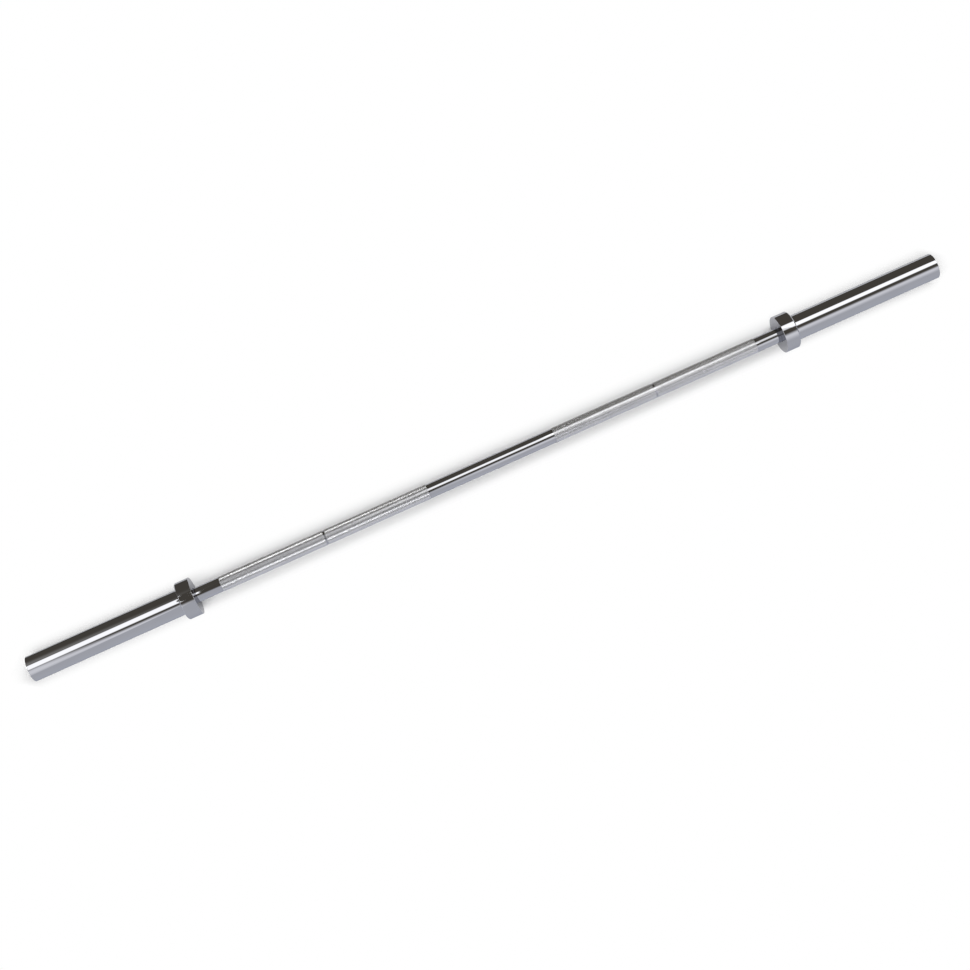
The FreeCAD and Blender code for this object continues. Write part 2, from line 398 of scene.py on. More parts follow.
@dataclass(frozen=True)
class BareMetal:
    """Bearing metal or hard steel: turned or ground lines, with oil and handling stains.

    Lengths are in millimetres.
    """

    name: str
    colour: Colour
    stain: Colour
    roughness: float
    stain_roughness: float
    line_pitch: float = 0.12
    line_length: float = 12.0
    line_depth: float = 0.003
    line_roughness: float = 0.1
    line_layers: float = 2.0
    stain_size: float = 7.0
    stain_layers: float = 5.0
    stain_edge: Range = (0.45, 0.7)

    @functools.cache
    def material(self) -> bpy.types.Material:
        """Make the material, once.

        Returns:
            The material.
        """
        material, sheet = new_sheet(self.name)
        lines = sheet.noise((self.line_pitch, self.line_length, self.line_length), self.line_layers)
        clouds = sheet.noise((self.stain_size,) * 3, self.stain_layers)
        stains = sheet.steps(clouds, *self.stain_edge)
        rough = self.roughness + (self.stain_roughness - self.roughness) * stains
        shader = sheet.add("ShaderNodeBsdfPrincipled", inputs={
            "Base Color": sheet.blend(stains, self.colour, self.stain),
            "Metallic": 1.0,
            "Roughness": rough + self.line_roughness * (lines - NOISE_MIDDLE),
            "Normal": sheet.bump(lines, self.line_depth),
        })
        sheet.surface(shader)
        return material


@dataclass(frozen=True)
class Rubber:
    """Moulded black rubber with a fine grain and dusty patches. Lengths are in millimetres."""

    name: str
    colour: Colour = (0.022, 0.022, 0.023)
    dust: Colour = (0.06, 0.058, 0.055)
    roughness: float = 0.5
    dust_roughness: float = 0.25
    grain_size: float = 0.3
    grain_depth: float = 0.02
    grain_layers: float = 2.0
    dust_size: float = 4.0
    dust_layers: float = 4.0
    dust_edge: Range = (0.5, 0.75)

    @functools.cache
    def material(self) -> bpy.types.Material:
        """Make the material, once.

        Returns:
            The material.
        """
        material, sheet = new_sheet(self.name)
        grain = sheet.noise((self.grain_size,) * 3, self.grain_layers)
        clouds = sheet.noise((self.dust_size,) * 3, self.dust_layers)
        dust = sheet.steps(clouds, *self.dust_edge)
        shader = sheet.add("ShaderNodeBsdfPrincipled", inputs={
            "Base Color": sheet.blend(dust, self.colour, self.dust),
            "Roughness": self.roughness + self.dust_roughness * dust,
            "Normal": sheet.bump(grain, self.grain_depth),
        })
        sheet.surface(shader)
        return material


Finish = Chrome | KnurlChrome | BareMetal | Rubber


@dataclass(frozen=True)
class Outline:
    """Half section of a turned piece.

    A point is a place along the bar and a radius, and its normal is the direction that faces outwards.
    """

    points: np.ndarray
    normals: np.ndarray


def rounded(corners: np.ndarray, radii: np.ndarray, steps: int) -> Outline:
    """Round the inner corners of a path of straight lines, all at once.

    Each corner becomes an arc that touches both of its sides. The arc's centre lies on the corner's
    bisector, at the radius over the sine of half the corner's angle, and its points turn evenly from one
    side to the other. The path runs with the metal on its right, so an arc's normal points from its centre
    where the path turns right, and to its centre where the path turns left.

    Args:
        corners: Places and radii of the path's corners, of which the first and last are left out.
        radii: Radius of each rounded corner.
        steps: Points on each arc.

    Returns:
        The outline through all the arcs.
    """
    here = corners[1:-1]
    before = corners[:-2] - here
    after = corners[2:] - here
    before = before / np.linalg.norm(before, axis=1, keepdims=True)
    after = after / np.linalg.norm(after, axis=1, keepdims=True)
    half = np.arccos(np.sum(before * after, axis=1)) / 2
    bisector = (before + after) / np.linalg.norm(before + after, axis=1, keepdims=True)
    centre = here + bisector * (radii / np.sin(half))[:, None]
    first = (here + before * (radii / np.tan(half))[:, None] - centre) / radii[:, None]
    last = (here + after * (radii / np.tan(half))[:, None] - centre) / radii[:, None]
    sweep = (math.pi - 2 * half)[:, None, None]
    share = np.linspace(0, 1, steps)[None, :, None]
    from_first = np.sin((1 - share) * sweep) * first[:, None]
    to_last = np.sin(share * sweep) * last[:, None]
    arc = (from_first + to_last) / np.sin(sweep)
    points = centre[:, None] + radii[:, None, None] * arc
    turn = np.sign(before[:, 0] * after[:, 1] - before[:, 1] * after[:, 0])
    normals = arc * turn[:, None, None]
    return Outline(points.reshape(-1, 2), normals.reshape(-1, 2))


@dataclass(frozen=True)
class Surface:
    """Points and faces of a piece in millimetres, with the points' normals where it is smooth."""

    points: np.ndarray
    faces: list[list[int]]
    normals: np.ndarray | None = None

    def on_side(self, side: Side) -> "Surface":
        """Turn the surface half round about Z for the left-hand end of the bar.

        Args:
            side: End that the surface is for.

        Returns:
            The surface at that end.
        """
        turn = np.array([side.value, side.value, 1])
        normals = None if self.normals is None else self.normals * turn
        return Surface(self.points * turn, self.faces, normals)

    def piece(
        self, name: str, body: str, slot: str, finish: Finish, replaces: str | None = None
    ) -> None:
        """Make the surface a piece of the object.

        Args:
            name: Name of the piece.
            body: CAD body that it moves with.
            slot: Material slot of the record; not used.
            finish: Finish of its surface.
            replaces: CAD node that it stands for.
        """
        mesh = bpy.data.meshes.new(name)
        mesh.from_pydata(self.points * MM, [], self.faces, shade_flat=self.normals is None)
        if self.normals is not None:
            mesh.normals_split_custom_set_from_vertices(self.normals)
        mesh.materials.append(finish.material())
        piece = bpy.data.objects.new(name, mesh)
        bpy.context.scene.collection.objects.link(piece)
        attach(piece, body)
        if replaces:
            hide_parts(replaces)
        log.info("%s: %d faces, rides on %s", name, len(self.faces), body)


def turned(outline: Outline, segments: int) -> tuple[np.ndarray, np.ndarray]:
    """Turn an outline about the bar's axis.

    A point at place x and radius r goes to (x, r cos a, r sin a) at each angle a of an even full turn,
    and its normal goes round with it.

    Args:
        outline: The half section.
        segments: Points around the axis.

    Returns:
        Points and normals, as grids of outline points by angles.
    """
    angle = np.arange(segments) * FULL_TURN / segments
    around = np.stack([np.ones(segments), np.cos(angle), np.sin(angle)], axis=1)
    points = outline.points[:, [0, 1, 1]][:, None] * around
    normals = outline.normals[:, [0, 1, 1]][:, None] * around
    return points, normals


def net(numbers: np.ndarray) -> np.ndarray:
    """Return the four-sided faces of a grid of point numbers, whose columns close into a loop."""
    beside = np.roll(numbers, -1, axis=1)
    return np.stack([numbers[:-1], beside[:-1], beside[1:], numbers[1:]], axis=-1).reshape(-1, 4)


def turned_ring(corners: Corners, radii: list[float], segments: int, steps: int) -> Surface:
    """Turn a closed outline with rounded corners into a ring around the bar's axis.

    Args:
        corners: Places and radii of the corners, out along the outside and back along the bore.
        radii: Radius of each rounded corner.
        segments: Points around the axis.
        steps: Points on each rounded corner.

    Returns:
        A closed surface.
    """
    loop = np.array([corners[-1], *corners, corners[0]])
    points, normals = turned(rounded(loop, np.array(radii), steps), segments)
    numbers = np.arange(points.shape[0] * segments).reshape(-1, segments)
    faces = net(np.concatenate([numbers, numbers[:1]]))
    return Surface(points.reshape(-1, 3), faces.tolist(), normals.reshape(-1, 3))


def turned_solid(corners: Corners, radii: list[float], segments: int, steps: int) -> Surface:
    """Turn an outline that starts and ends on the bar's axis into a solid with a point at each pole.

    Args:
        corners: Places and radii of the corners, from the axis out, along the outside and back in.
        radii: Radius of each rounded corner, without the two ends.
        segments: Points around the axis.
        steps: Points on each rounded corner.

    Returns:
        A closed surface.
    """
    points, normals = turned(rounded(np.array(corners), np.array(radii), steps), segments)
    numbers = np.arange(points.shape[0] * segments).reshape(-1, segments)
    first, last = numbers.size, numbers.size + 1
    start, end = numbers[0], numbers[-1]
    fan_in = np.stack([np.full(segments, first), np.roll(start, -1), start], axis=1)
    fan_out = np.stack([np.full(segments, last), end, np.roll(end, -1)], axis=1)
    poles = np.array([[corners[0][0], 0, 0], [corners[-1][0], 0, 0]])
    pole_normals = np.array([[-1, 0, 0], [1, 0, 0]])
    return Surface(
        np.concatenate([points.reshape(-1, 3), poles]),
        net(numbers).tolist() + fan_in.tolist() + fan_out.tolist(),
        np.concatenate([normals.reshape(-1, 3), pole_normals]),
    )


def on_bar(place: np.ndarray, radius: np.ndarray | float, angle: np.ndarray) -> np.ndarray:
    """Return points at places along the bar, radii and angles about it."""
    place, radius, angle = np.broadcast_arrays(place, radius, angle)
    return np.stack([place, radius * np.cos(angle), radius * np.sin(angle)], axis=-1)


@dataclass(frozen=True)
class Extent:
    """Room that a turned CAD node takes, in millimetres.

    It is the nearest and the farthest place from the bar's middle, and the radius.
    """

    near: float
    far: float
    radius: float

    @classmethod
    def of(cls, node: str) -> "Extent":
        """Measure a CAD node.

        Args:
            node: Name of the node.

        Returns:
            The room that it takes.
        """
        low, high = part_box(node)
        near, far = sorted((abs(low.x) / MM, abs(high.x) / MM))
        return cls(near, far, max(high.y, high.z) / MM)


@dataclass(frozen=True)
class Knurl:
    """Diamond knurling of a grip band, in millimetres.

    Two sets of grooves wind round the bar in opposite ways and leave rows of diamonds. A row stands half a
    diamond's length on from the one before, and half a diamond's width round from it.
    """

    starts: int = 56
    helix: float = math.radians(42)
    slope: float = math.radians(37)
    flat: float = 0.6
    inner_radius: float = 13.8
    root_radius: float = 14.3
    tip_part: int = 3

    @property
    def width(self) -> float:
        """Width of a diamond around the bar."""
        return FULL_TURN * self.root_radius / self.starts

    @property
    def length(self) -> float:
        """Length of a diamond along the bar."""
        return self.width / math.tan(self.helix)

    @property
    def rise(self) -> float:
        """Height of a diamond's flat crest over the grooves, from the slope of its sides."""
        side = self.width / 2 * math.cos(self.helix)
        return side * (1 - self.flat) * math.tan(self.slope)

    @property
    def crest_radius(self) -> float:
        """Radius over the crests."""
        return self.root_radius + self.rise

    def band(self, start: float, end: float) -> Surface:
        """Cut one band.

        The grooves' crossings make a grid: crossing k of row l lies at start + l half lengths along the
        bar, and at k widths around it, or k and a half where l is odd. Each diamond spans two crossings of
        its own row and one of each row beside it. Its crest is the same four corners, drawn in to its
        middle by the share that is flat and lifted by the rise. Half diamonds close both ends. Each has
        one crest point, half as high, and in from the end by a row's step over the tip part.

        Args:
            start: Place along the bar where the band starts.
            end: Place where it ends.

        Returns:
            A closed ring.
        """
        rows = 2 * round((end - start) / self.length)
        step = (end - start) / rows
        turn = FULL_TURN / self.starts
        row = np.arange(rows + 1)[:, None]
        odd = row % 2
        column = np.arange(self.starts)[None, :]
        place = start + row * step
        crossing_angle = (column + odd / 2) * turn
        middle_angle = (column + (1 - odd) / 2) * turn
        crossings = on_bar(place, self.root_radius, crossing_angle)
        number = np.arange(crossings[..., 0].size).reshape(rows + 1, self.starts)
        shifted = np.where(odd, np.roll(number, 1, axis=1), number)
        onward = np.where(odd, number, np.roll(number, -1, axis=1))

        inside = slice(1, -1)
        corners = np.stack([shifted[inside], number[:-2], onward[inside], number[2:]], axis=-1)
        reach = np.array([[-turn / 2, 0], [0, -step], [turn / 2, 0], [0, step]]) * self.flat
        crests = on_bar(
            place[inside, :, None] + reach[:, 1],
            self.crest_radius,
            middle_angle[inside, :, None] + reach[:, 0],
        )
        crest_number = number.size + np.arange(crests[..., 0].size).reshape(crests.shape[:3])
        sides = np.stack([
            corners,
            np.roll(corners, -1, axis=-1),
            np.roll(crest_number, -1, axis=-1),
            crest_number,
        ], axis=-1)

        inset = step / self.tip_part
        tip_place = np.array([start + inset, end - inset])[:, None]
        tip_angle = middle_angle[[0, -1]]
        tips = on_bar(tip_place, self.root_radius + self.rise / 2, tip_angle)
        tip_number = crest_number[-1, -1, -1] + 1 + np.arange(2 * self.starts).reshape(2, -1)
        first_half = np.stack([shifted[0], onward[0], number[1]], axis=-1)
        last_half = np.stack([onward[-1], shifted[-1], number[-2]], axis=-1)
        halves = np.stack([first_half, last_half])
        tip_faces = np.stack([
            halves,
            np.roll(halves, -1, axis=-1),
            np.broadcast_to(tip_number[..., None], halves.shape),
        ], axis=-1)

        bore = on_bar(np.array([[end], [start]]), self.inner_radius, crossing_angle[[-1, 0]])
        bore_number = tip_number[-1, -1] + 1 + np.arange(2 * self.starts).reshape(2, -1)
        rim = np.stack([number[-1], bore_number[0], bore_number[1], number[0]])
        return Surface(
            np.concatenate([points.reshape(-1, 3) for points in (crossings, crests, tips, bore)]),
            sides.reshape(-1, 4).tolist() + crest_number.reshape(-1, 4).tolist()
            + tip_faces.reshape(-1, 3).tolist() + net(rim).tolist(),
        )


@dataclass
class Shaft:
    """The bar itself and its four knurled bands, in millimetres."""

    chrome: Chrome
    knurl: Knurl = field(default_factory=Knurl)
    radius: float = 14.0
    journal_radius: float = 12.5
    shoulder: float = 599.25
    groove_start: float = 896.6
    groove_end: float = 897.9
    groove_radius: float = 11.95
    tail_chamfer: float = 1.0
    edge: float = 0.15
    bands: dict[str, Range] = field(
        default_factory=lambda: {"inner": (127.5, 331.5), "outer": (335.5, 541.0)}
    )
    segments: int = 192
    arc_steps: int = 5

    def build(self) -> None:
        """Make the turned bar and the bands."""
        end = Extent.of("shaft").far
        half = [
            (self.shoulder, self.radius),
            (self.shoulder, self.journal_radius),
            (self.groove_start, self.journal_radius),
            (self.groove_start, self.groove_radius),
            (self.groove_end, self.groove_radius),
            (self.groove_end, self.journal_radius),
            (end - self.tail_chamfer, self.journal_radius),
            (end, self.journal_radius - self.tail_chamfer),
            (end, 0),
        ]
        corners = [(-place, radius) for place, radius in reversed(half)] + half
        bar = turned_solid(corners, [self.edge] * (len(corners) - 2), self.segments, self.arc_steps)
        bar.piece("shaft_bar", "shaft", "shaft_chrome", self.chrome, "shaft")
        satin = KnurlChrome("knurl_chrome", self.knurl.root_radius, self.knurl.crest_radius)
        for side in Side:
            for name, (start, stop) in self.bands.items():
                band = self.knurl.band(start, stop).on_side(side)
                band.piece(side.node(f"{name}_knurl"), "shaft", "shaft_chrome", satin)


@dataclass
class SleeveEnd:
    """Sleeve, collar and end cap of one side, in millimetres."""

    side: Side
    chrome: Chrome
    cap_chrome: Chrome
    seat_radius: float = 17.0
    bore_radius: float = 16.0
    spigot_step: float = 1.0
    inner_seat_end: float = 637.5
    outer_seat_start: float = 858.45
    ledge: float = 904.0
    cap_bore_radius: float = 19.0
    lip_length: float = 2.5
    groove_radius: float = 20.0
    rim_round: float = 1.0
    web_bore_radius: float = 14.3
    web_bore_chamfer: float = 0.8
    seal_groove_radius: float = 16.55
    seal_groove_half: float = 1.25
    collar_inner_chamfer: float = 0.5
    collar_outer_chamfer: float = 2.0
    collar_edge: float = 0.6
    cap_chamfer: float = 0.5
    centre_mark: float = 1.6
    edge: float = 0.12
    segments: int = 256
    arc_steps: int = 6

    def build(self) -> None:
        """Make the three turned pieces."""
        self.build_sleeve()
        self.build_collar()
        self.build_cap()

    def put(self, surface: Surface, name: str, slot: str, finish: Finish, node: str) -> None:
        """Place a surface on this side in a CAD node's stead."""
        body = self.side.node("sleeve")
        surface.on_side(self.side).piece(self.side.node(name), body, slot, finish, self.side.node(node))

    def build_sleeve(self) -> None:
        """Make the plate sleeve with its bush seats and the recess for the cap."""
        tube = Extent.of(self.side.node("sleeve"))
        collar = Extent.of(self.side.node("collar"))
        cap = Extent.of(self.side.node("end_cap"))
        spigot = tube.radius - self.spigot_step
        lip = tube.far - self.lip_length
        rim = (tube.far, tube.radius)
        corners = [
            (tube.near, spigot),
            (collar.far - self.spigot_step, spigot),
            (collar.far, tube.radius),
            rim,
            (tube.far, self.cap_bore_radius),
            (lip, self.cap_bore_radius),
            (lip, self.groove_radius),
            (cap.far, self.groove_radius),
            (cap.far, self.cap_bore_radius),
            (self.ledge, self.cap_bore_radius),
            (self.ledge, self.seat_radius),
            (self.outer_seat_start, self.seat_radius),
            (self.outer_seat_start, self.bore_radius),
            (self.inner_seat_end, self.bore_radius),
            (self.inner_seat_end, self.seat_radius),
            (tube.near, self.seat_radius),
        ]
        radii = [self.rim_round if corner == rim else self.edge for corner in corners]
        surface = turned_ring(corners, radii, self.segments, self.arc_steps)
        self.put(surface, "sleeve_tube", "sleeve_chrome", self.chrome, "sleeve")

    def build_collar(self) -> None:
        """Make the collar, chamfered wider on the plates' side, with the groove of the dust seal."""
        collar = Extent.of(self.side.node("collar"))
        tube = Extent.of(self.side.node("sleeve"))
        seal = Extent.of(self.side.node("dust_seal"))
        seal_middle = (seal.near + seal.far) / 2
        spigot = tube.radius - self.spigot_step
        outer_rim = [
            (collar.far - self.collar_outer_chamfer, collar.radius),
            (collar.far, collar.radius - self.collar_outer_chamfer),
        ]
        corners = [
            (collar.near, collar.radius - self.collar_inner_chamfer),
            (collar.near + self.collar_inner_chamfer, collar.radius),
            *outer_rim,
            (collar.far, tube.radius),
            (collar.far - self.spigot_step, spigot),
            (tube.near, spigot),
            (tube.near, self.web_bore_radius),
            (seal_middle + self.seal_groove_half, self.web_bore_radius),
            (seal_middle + self.seal_groove_half, self.seal_groove_radius),
            (seal_middle - self.seal_groove_half, self.seal_groove_radius),
            (seal_middle - self.seal_groove_half, self.web_bore_radius),
            (collar.near + self.web_bore_chamfer, self.web_bore_radius),
            (collar.near, self.web_bore_radius + self.web_bore_chamfer),
        ]
        radii = [self.collar_edge if corner in outer_rim else self.edge for corner in corners]
        surface = turned_ring(corners, radii, self.segments, self.arc_steps)
        self.put(surface, "collar_ring", "sleeve_chrome", self.chrome, "collar")

    def build_cap(self) -> None:
        """Make the end cap with a small turning centre in its face."""
        cap = Extent.of(self.side.node("end_cap"))
        corners = [
            (cap.near, 0),
            (cap.near, cap.radius),
            (cap.far - self.cap_chamfer, cap.radius),
            (cap.far, cap.radius - self.cap_chamfer),
            (cap.far, self.centre_mark),
            (cap.far - self.centre_mark, 0),
        ]
        surface = turned_solid(corners, [self.edge] * (len(corners) - 2), self.segments, self.arc_steps)
        self.put(surface, "end_cap_disc", "cap_chrome", self.cap_chrome, "end_cap")


@dataclass
class SmallParts:
    """Bearings, rings and seals that keep their CAD shape and get a finish by their material slot."""

    finishes: dict[str, Finish]

    def dress(self) -> None:
        """Give every CAD node of these slots its finish."""
        for subpart in frame["record"]["subparts"]:
            finish = self.finishes.get(subpart["material_slot"])
            if finish:
                node = frame["nodes"][subpart["node"]]
                node.material_slots[0].material = finish.material()
                log.info("%s: finished as %s", subpart["node"], finish.name)


@dataclass(frozen=True)
class Lamp:
    """Level lamp over the bar, with soft long sides.

    Its ends are places along the bar in metres, its sides are degrees across the bar from straight up,
    and it may be turned by some degrees. The soft part of each side is a share of the width.
    """

    name: str
    use: LampUse
    start: float
    end: float
    near_angle: float
    far_angle: float
    radiance: float
    turn: float = 0.0
    soft: float = 0.2

    def hang(self, height: float) -> None:
        """Hang the lamp.

        Args:
            height: Height over the bar's axis.
        """
        angles = (self.near_angle, self.far_angle)
        near, far = (height * math.tan(math.radians(angle)) for angle in angles)
        light = bpy.data.lights.new(self.name, "AREA")
        light.shape = "RECTANGLE"
        light.size = self.end - self.start
        light.size_y = far - near
        light.energy = self.radiance * math.pi * light.size * light.size_y
        light.use_nodes = True
        sheet = ShaderSheet(light.node_tree)
        spot = sheet.add("ShaderNodeNewGeometry").outputs["Parametric"]
        across = Amount(sheet, sheet.add("ShaderNodeSeparateXYZ", inputs={0: spot}).outputs["Y"])
        share = sheet.steps(across, 0.0, self.soft) * (1 - sheet.steps(across, 1 - self.soft, 1.0))
        glow = sheet.add("ShaderNodeEmission", inputs={"Strength": share})
        sheet.add("ShaderNodeOutputLight", inputs={"Surface": glow.outputs[0]})
        lamp = bpy.data.objects.new(self.name, light)
        lamp.location = ((self.start + self.end) / 2, (near + far) / 2, height)
        lamp.rotation_euler.z = math.radians(self.turn)
        lamp.visible_camera = False
        lamp.visible_glossy = self.use is LampUse.METAL
        lamp.visible_diffuse = self.use is LampUse.FLOOR
        bpy.context.scene.collection.objects.link(lamp)
        log.info("%s: %.2f m by %.2f m", self.name, light.size, light.size_y)


def show_to_metal(stage: bpy.types.Object) -> None:
    """Hide a stage object from everything but reflections.

    Args:
        stage: The object.
    """
    stage.visible_camera = False
    stage.visible_diffuse = False
    stage.visible_shadow = False


@dataclass
class Studio:
    """Pale floor, soft lamps, what the chrome reflects, and the photograph's camera.

    Lengths are in metres. Places run along the bar from its middle, and angles are degrees across the
    bar from straight up, negative on the near side. A pair of values is where a change starts and ends.
    """

    floor_height: float
    floor_reach: float = 30.0
    floor_colour: Colour = (0.85, 0.85, 0.85)
    floor_lift: float = 0.07
    # Where painted white takes over from the floor's real shadow, across the bar on each side and past its
    # ends.
    fade_near: Range = (-0.038, -0.005)
    fade_far: Range = (0.014, 0.055)
    fade_ends: Range = (0.915, 0.965)
    fill: float = 0.08
    lamp_height: float = 3.4
    # Name, use, both ends, both sides and radiance of each lamp.
    lamps: tuple[Lamp, ...] = (
        Lamp("left_strip", LampUse.METAL, -1.95, -1.181, -12.0, 31.0, 1.9, turn=1.75),
        Lamp("slit_strip", LampUse.METAL, -1.12, -1.1, 2.0, 30.0, 2.2, turn=2.3),
        Lamp("centre_strip", LampUse.METAL, -0.35, 0.535, -1.5, 34.0, 1.8),
        Lamp("right_grip_strip", LampUse.METAL, 0.535, 1.48, -2.5, 36.0, 2.7),
        Lamp("low_grip_strip", LampUse.METAL, 0.58, 1.42, -22.0, 2.0, 1.8),
        Lamp("neck_strip", LampUse.METAL, 1.48, 1.615, -1.5, 34.0, 1.3),
        Lamp("right_strip", LampUse.METAL, 1.615, 2.52, -2.5, 34.0, 2.0),
        Lamp("right_end_strip", LampUse.METAL, 2.48, 4.4, 0.0, 36.0, 6.0, turn=-8.0),
        Lamp("far_left_strip", LampUse.METAL, -7.2, -4.3, 0.0, 36.0, 5.2),
        Lamp("left_end_strip", LampUse.METAL, -5.0, -2.5, 36.0, 62.0, 6.0),
        Lamp("near_lamp", LampUse.FLOOR, -2.6, -0.1, -40.0, -6.0, 6.9),
        Lamp("far_lamp", LampUse.FLOOR, 0.1, 2.6, 6.0, 40.0, 6.9),
    )
    panel_place: Range = (-0.95, -0.36)
    panel_angles: Range = (-15.0, 38.0)
    panel_glow: float = 0.55
    tent_near_foot: float = 0.05
    tent_far_foot: tuple[float, ...] = (0.085, 0.115, 0.13, 0.135)
    tent_far_place: tuple[float, ...] = (-0.8, -0.55, 0.55, 0.8)
    tent_top: float = 7.0
    tent_reach: float = 12.0
    tent_steps: int = 97
    tent_dark: Colour = (0.1, 0.09, 0.075)
    tent_pale: Colour = (0.68, 0.69, 0.735)
    tent_low: Colour = (0.77, 0.8, 0.88)
    tent_bright: Colour = (1.15, 1.15, 1.19)
    tent_low_edge: Range = (-125.0, -72.0)
    tent_glow: Colour = (0.33, 0.32, 0.3)
    tent_glow_place: Range = (-2.1, -1.0)
    tent_glow_near: Range = (27.0, 37.0)
    tent_glow_far: Range = (45.0, 100.0)
    tent_edge: Range = (-39.0, -18.0)
    tent_edge_rise: float = 16.0
    tent_rise_place: Range = (-2.75, -1.8)
    tent_bright_edge: Range = (-72.0, -38.0)
    tent_gap_start: Range = (-1.42, -1.3)
    tent_gap_end: Range = (-0.2, 0.4)
    camera_place: Triple = (-0.19, -0.392, 2.677)
    camera_yaw: float = 24.356
    camera_pitch: float = -81.602
    camera_lens: float = 54.46
    camera_sensor: float = 36.0

    def build(self) -> None:
        """Set up everything around the object."""
        self.build_floor()
        self.build_tent()
        self.build_panel()
        for lamp in self.lamps:
            lamp.hang(self.lamp_height)
        self.build_world()
        self.build_camera()

    def stage_grid(
        self, name: str, points: np.ndarray, material: bpy.types.Material
    ) -> bpy.types.Object:
        """Make a grid of points a stage object.

        Args:
            name: Name of the object.
            points: Rows and columns of points.
            material: Its material.

        Returns:
            The new object.
        """
        rows, columns = points.shape[:2]
        number = np.arange(rows * columns).reshape(rows, columns)
        corners = (number[:-1, :-1], number[1:, :-1], number[1:, 1:], number[:-1, 1:])
        mesh = bpy.data.meshes.new(name)
        faces = np.stack(corners, axis=-1).reshape(-1, 4).tolist()
        mesh.from_pydata(points.reshape(-1, 3), [], faces)
        mesh.materials.append(material)
        stage = bpy.data.objects.new(name, mesh)
        bpy.context.scene.collection.objects.link(stage)
        return stage

    def level_sheet(
        self, name: str, ends: Range, sides: Range, height: float, material: bpy.types.Material
    ) -> bpy.types.Object:
        """Make a level rectangle a stage object.

        Args:
            name: Name of the object.
            ends: Places of its ends along the bar.
            sides: Places of its sides across the bar.
            height: Height over the bar's axis.
            material: Its material.

        Returns:
            The new object.
        """
        along, across = np.meshgrid(ends, sides, indexing="ij")
        points = np.stack([along, across, np.full_like(along, height)], axis=-1)
        return self.stage_grid(name, points, material)

    def build_floor(self) -> None:
        """Lay a flat floor, which fades to plain white beside the bar: painted white that lightens the
        bar's real shadow a short way out from the bar and past its ends.
        """
        material, sheet = new_sheet("pale_floor")
        seen = sheet.seen()
        across = sheet.part("Y")
        # Share of painted white over the floor's real shadow, rising across the bar on each side and past
        # its ends.
        beside = 1 - sheet.steps(across, *self.fade_near) + sheet.steps(across, *self.fade_far)
        beyond = sheet.steps(sheet.distance(FROM_MIDDLE), *self.fade_ends)
        plain = (beside + beyond).capped() * seen
        paint = sheet.add("ShaderNodeBsdfDiffuse", inputs={"Color": (*self.floor_colour, 1.0)})
        lift = sheet.add("ShaderNodeEmission", inputs={"Strength": self.floor_lift * seen})
        near = sheet.add("ShaderNodeAddShader", inputs={0: paint.outputs[0], 1: lift.outputs[0]})
        white = sheet.add("ShaderNodeEmission")
        shades = {0: plain, 1: near.outputs[0], 2: white.outputs[0]}
        sheet.surface(sheet.add("ShaderNodeMixShader", inputs=shades))
        reach = (-self.floor_reach, self.floor_reach)
        self.level_sheet("floor", reach, reach, self.floor_height, material)

    def tent_material(self) -> bpy.types.Material:
        """Make the tent pale on the near side and dark elsewhere.

        The pale side turns bluish low down and is brighter high up, apart from a gap over the left grip
        bands. Its edge rises towards the left end, where the dark side has a faint glow.

        Returns:
            The material.
        """
        material, sheet = new_sheet("reflection_tent")
        angle = sheet.math("ARCTAN2", sheet.part("Y"), sheet.part("Z"))
        place = sheet.part("X")
        glow = (
            (1 - sheet.steps(place, *self.tent_glow_place))
            * sheet.steps(angle, *map(math.radians, self.tent_glow_near))
            * (1 - sheet.steps(angle, *map(math.radians, self.tent_glow_far)))
        )
        dark = sheet.blend(glow, self.tent_dark, self.tent_glow)
        rise = math.radians(self.tent_edge_rise) * (1 - sheet.steps(place, *self.tent_rise_place))
        near_side = 1 - sheet.steps(angle - rise, *map(math.radians, self.tent_edge))
        high = sheet.steps(angle, *map(math.radians, self.tent_bright_edge))
        left_part = 1 - sheet.steps(place, *self.tent_gap_start)
        right_part = sheet.steps(place, *self.tent_gap_end)
        low = 1 - sheet.steps(angle, *map(math.radians, self.tent_low_edge))
        plain = sheet.blend(low, self.tent_pale, self.tent_low)
        pale = sheet.blend(high * (left_part + right_part), plain, self.tent_bright)
        colour = sheet.blend(near_side, dark, pale)
        sheet.surface(sheet.add("ShaderNodeEmission", inputs={"Color": colour}))
        return material

    def build_tent(self) -> None:
        """Hang a tent over the bar that only polished metal sees.

        At an angle from straight up, its distance from the bar's axis is the foot's distance plus the
        cosine of the angle, squared, of what the top stands higher. Below the axis it keeps the foot's
        distance.
        """
        along = np.array([-self.tent_reach, *self.tent_far_place, self.tent_reach])
        far_foot = np.interp(along, self.tent_far_place, self.tent_far_foot)
        near_foot = np.full_like(far_foot, self.tent_near_foot)
        feet = (near_foot, far_foot)
        near_end, far_end = (QUARTER_TURN + np.arcsin(-self.floor_height / foot) for foot in feet)
        bend = np.linspace(-near_end, far_end, self.tent_steps)
        foot = np.where(bend < 0, near_foot, far_foot)
        distance = foot + (self.tent_top - foot) * np.maximum(np.cos(bend), 0) ** 2
        across, up = distance * np.sin(bend), distance * np.cos(bend)
        points = np.stack(np.broadcast_arrays(along, across, up), axis=-1)
        show_to_metal(self.stage_grid("reflection_tent", points, self.tent_material()))

    def build_panel(self) -> None:
        """Hang a dim panel at the lamps' height, for the left grip bands to reflect."""
        material, sheet = new_sheet("grip_panel")
        material.cycles.emission_sampling = "NONE"
        sheet.surface(sheet.add("ShaderNodeEmission", inputs={"Strength": self.panel_glow}))
        sides = tuple(self.lamp_height * np.tan(np.radians(self.panel_angles)))
        panel = self.level_sheet("grip_panel", self.panel_place, sides, self.lamp_height, material)
        show_to_metal(panel)

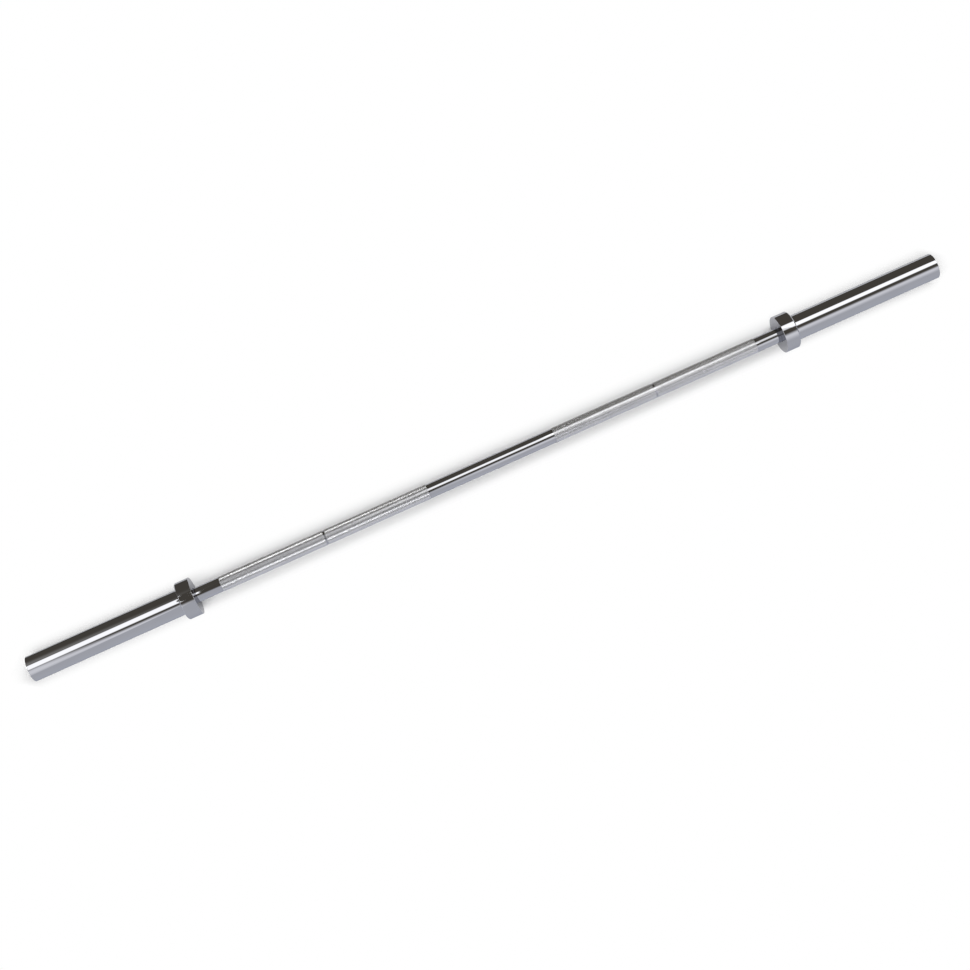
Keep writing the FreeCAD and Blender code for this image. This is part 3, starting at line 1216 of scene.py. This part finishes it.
    def build_world(self) -> None:
        """Surround the scene with white, which lights the object at a lower, even level."""
        world = bpy.data.worlds.new("white_surround")
        world.use_nodes = True
        sheet = ShaderSheet(world.node_tree)
        strength = self.fill + (1 - self.fill) * sheet.seen()
        white = sheet.add("ShaderNodeBackground", inputs={"Color": WHITE, "Strength": strength})
        sheet.add("ShaderNodeOutputWorld", inputs={"Surface": white.outputs[0]})
        bpy.context.scene.world = world

    def build_camera(self) -> None:
        """Point the camera as the photograph was taken, from high over the near side."""
        camera = bpy.data.objects.new("photo_camera", bpy.data.cameras.new("photo_camera"))
        camera.data.lens = self.camera_lens
        camera.data.sensor_width = self.camera_sensor
        camera.location = self.camera_place
        tilt = QUARTER_TURN + math.radians(self.camera_pitch)
        camera.rotation_euler = (tilt, 0, -math.radians(self.camera_yaw))
        bpy.context.scene.collection.objects.link(camera)
        bpy.context.scene.camera = camera


def main() -> None:
    """Build and dress the barbell, then the studio."""
    logging.basicConfig(level=logging.INFO, format="%(message)s")
    bpy.context.scene.view_settings.view_transform = "Standard"
    shaft_chrome = Chrome("shaft_chrome_polish", grain=Grain.ALONG)
    sleeve_chrome = Chrome("sleeve_chrome_polish")
    cap_chrome = Chrome("cap_chrome_turned", roughness=0.14, line_depth=0.002)
    Shaft(shaft_chrome).build()
    for side in Side:
        SleeveEnd(side, sleeve_chrome, cap_chrome).build()
    SmallParts({
        "bush_bronze": BareMetal(
            "oiled_bronze",
            colour=(0.55, 0.36, 0.18),
            stain=(0.22, 0.13, 0.06),
            roughness=0.28,
            stain_roughness=0.5,
        ),
        "washer_steel": BareMetal(
            "ground_steel",
            colour=(0.48, 0.48, 0.49),
            stain=(0.3, 0.29, 0.27),
            roughness=0.3,
            stain_roughness=0.42,
        ),
        "spring_steel": BareMetal(
            "phosphated_steel",
            colour=(0.13, 0.13, 0.14),
            stain=(0.07, 0.07, 0.075),
            roughness=0.45,
            stain_roughness=0.6,
        ),
        "seal_rubber": Rubber("black_rubber"),
    }).dress()
    Studio(floor_height=cad_box[0].z).build()


if __name__ == "__main__":
    main()
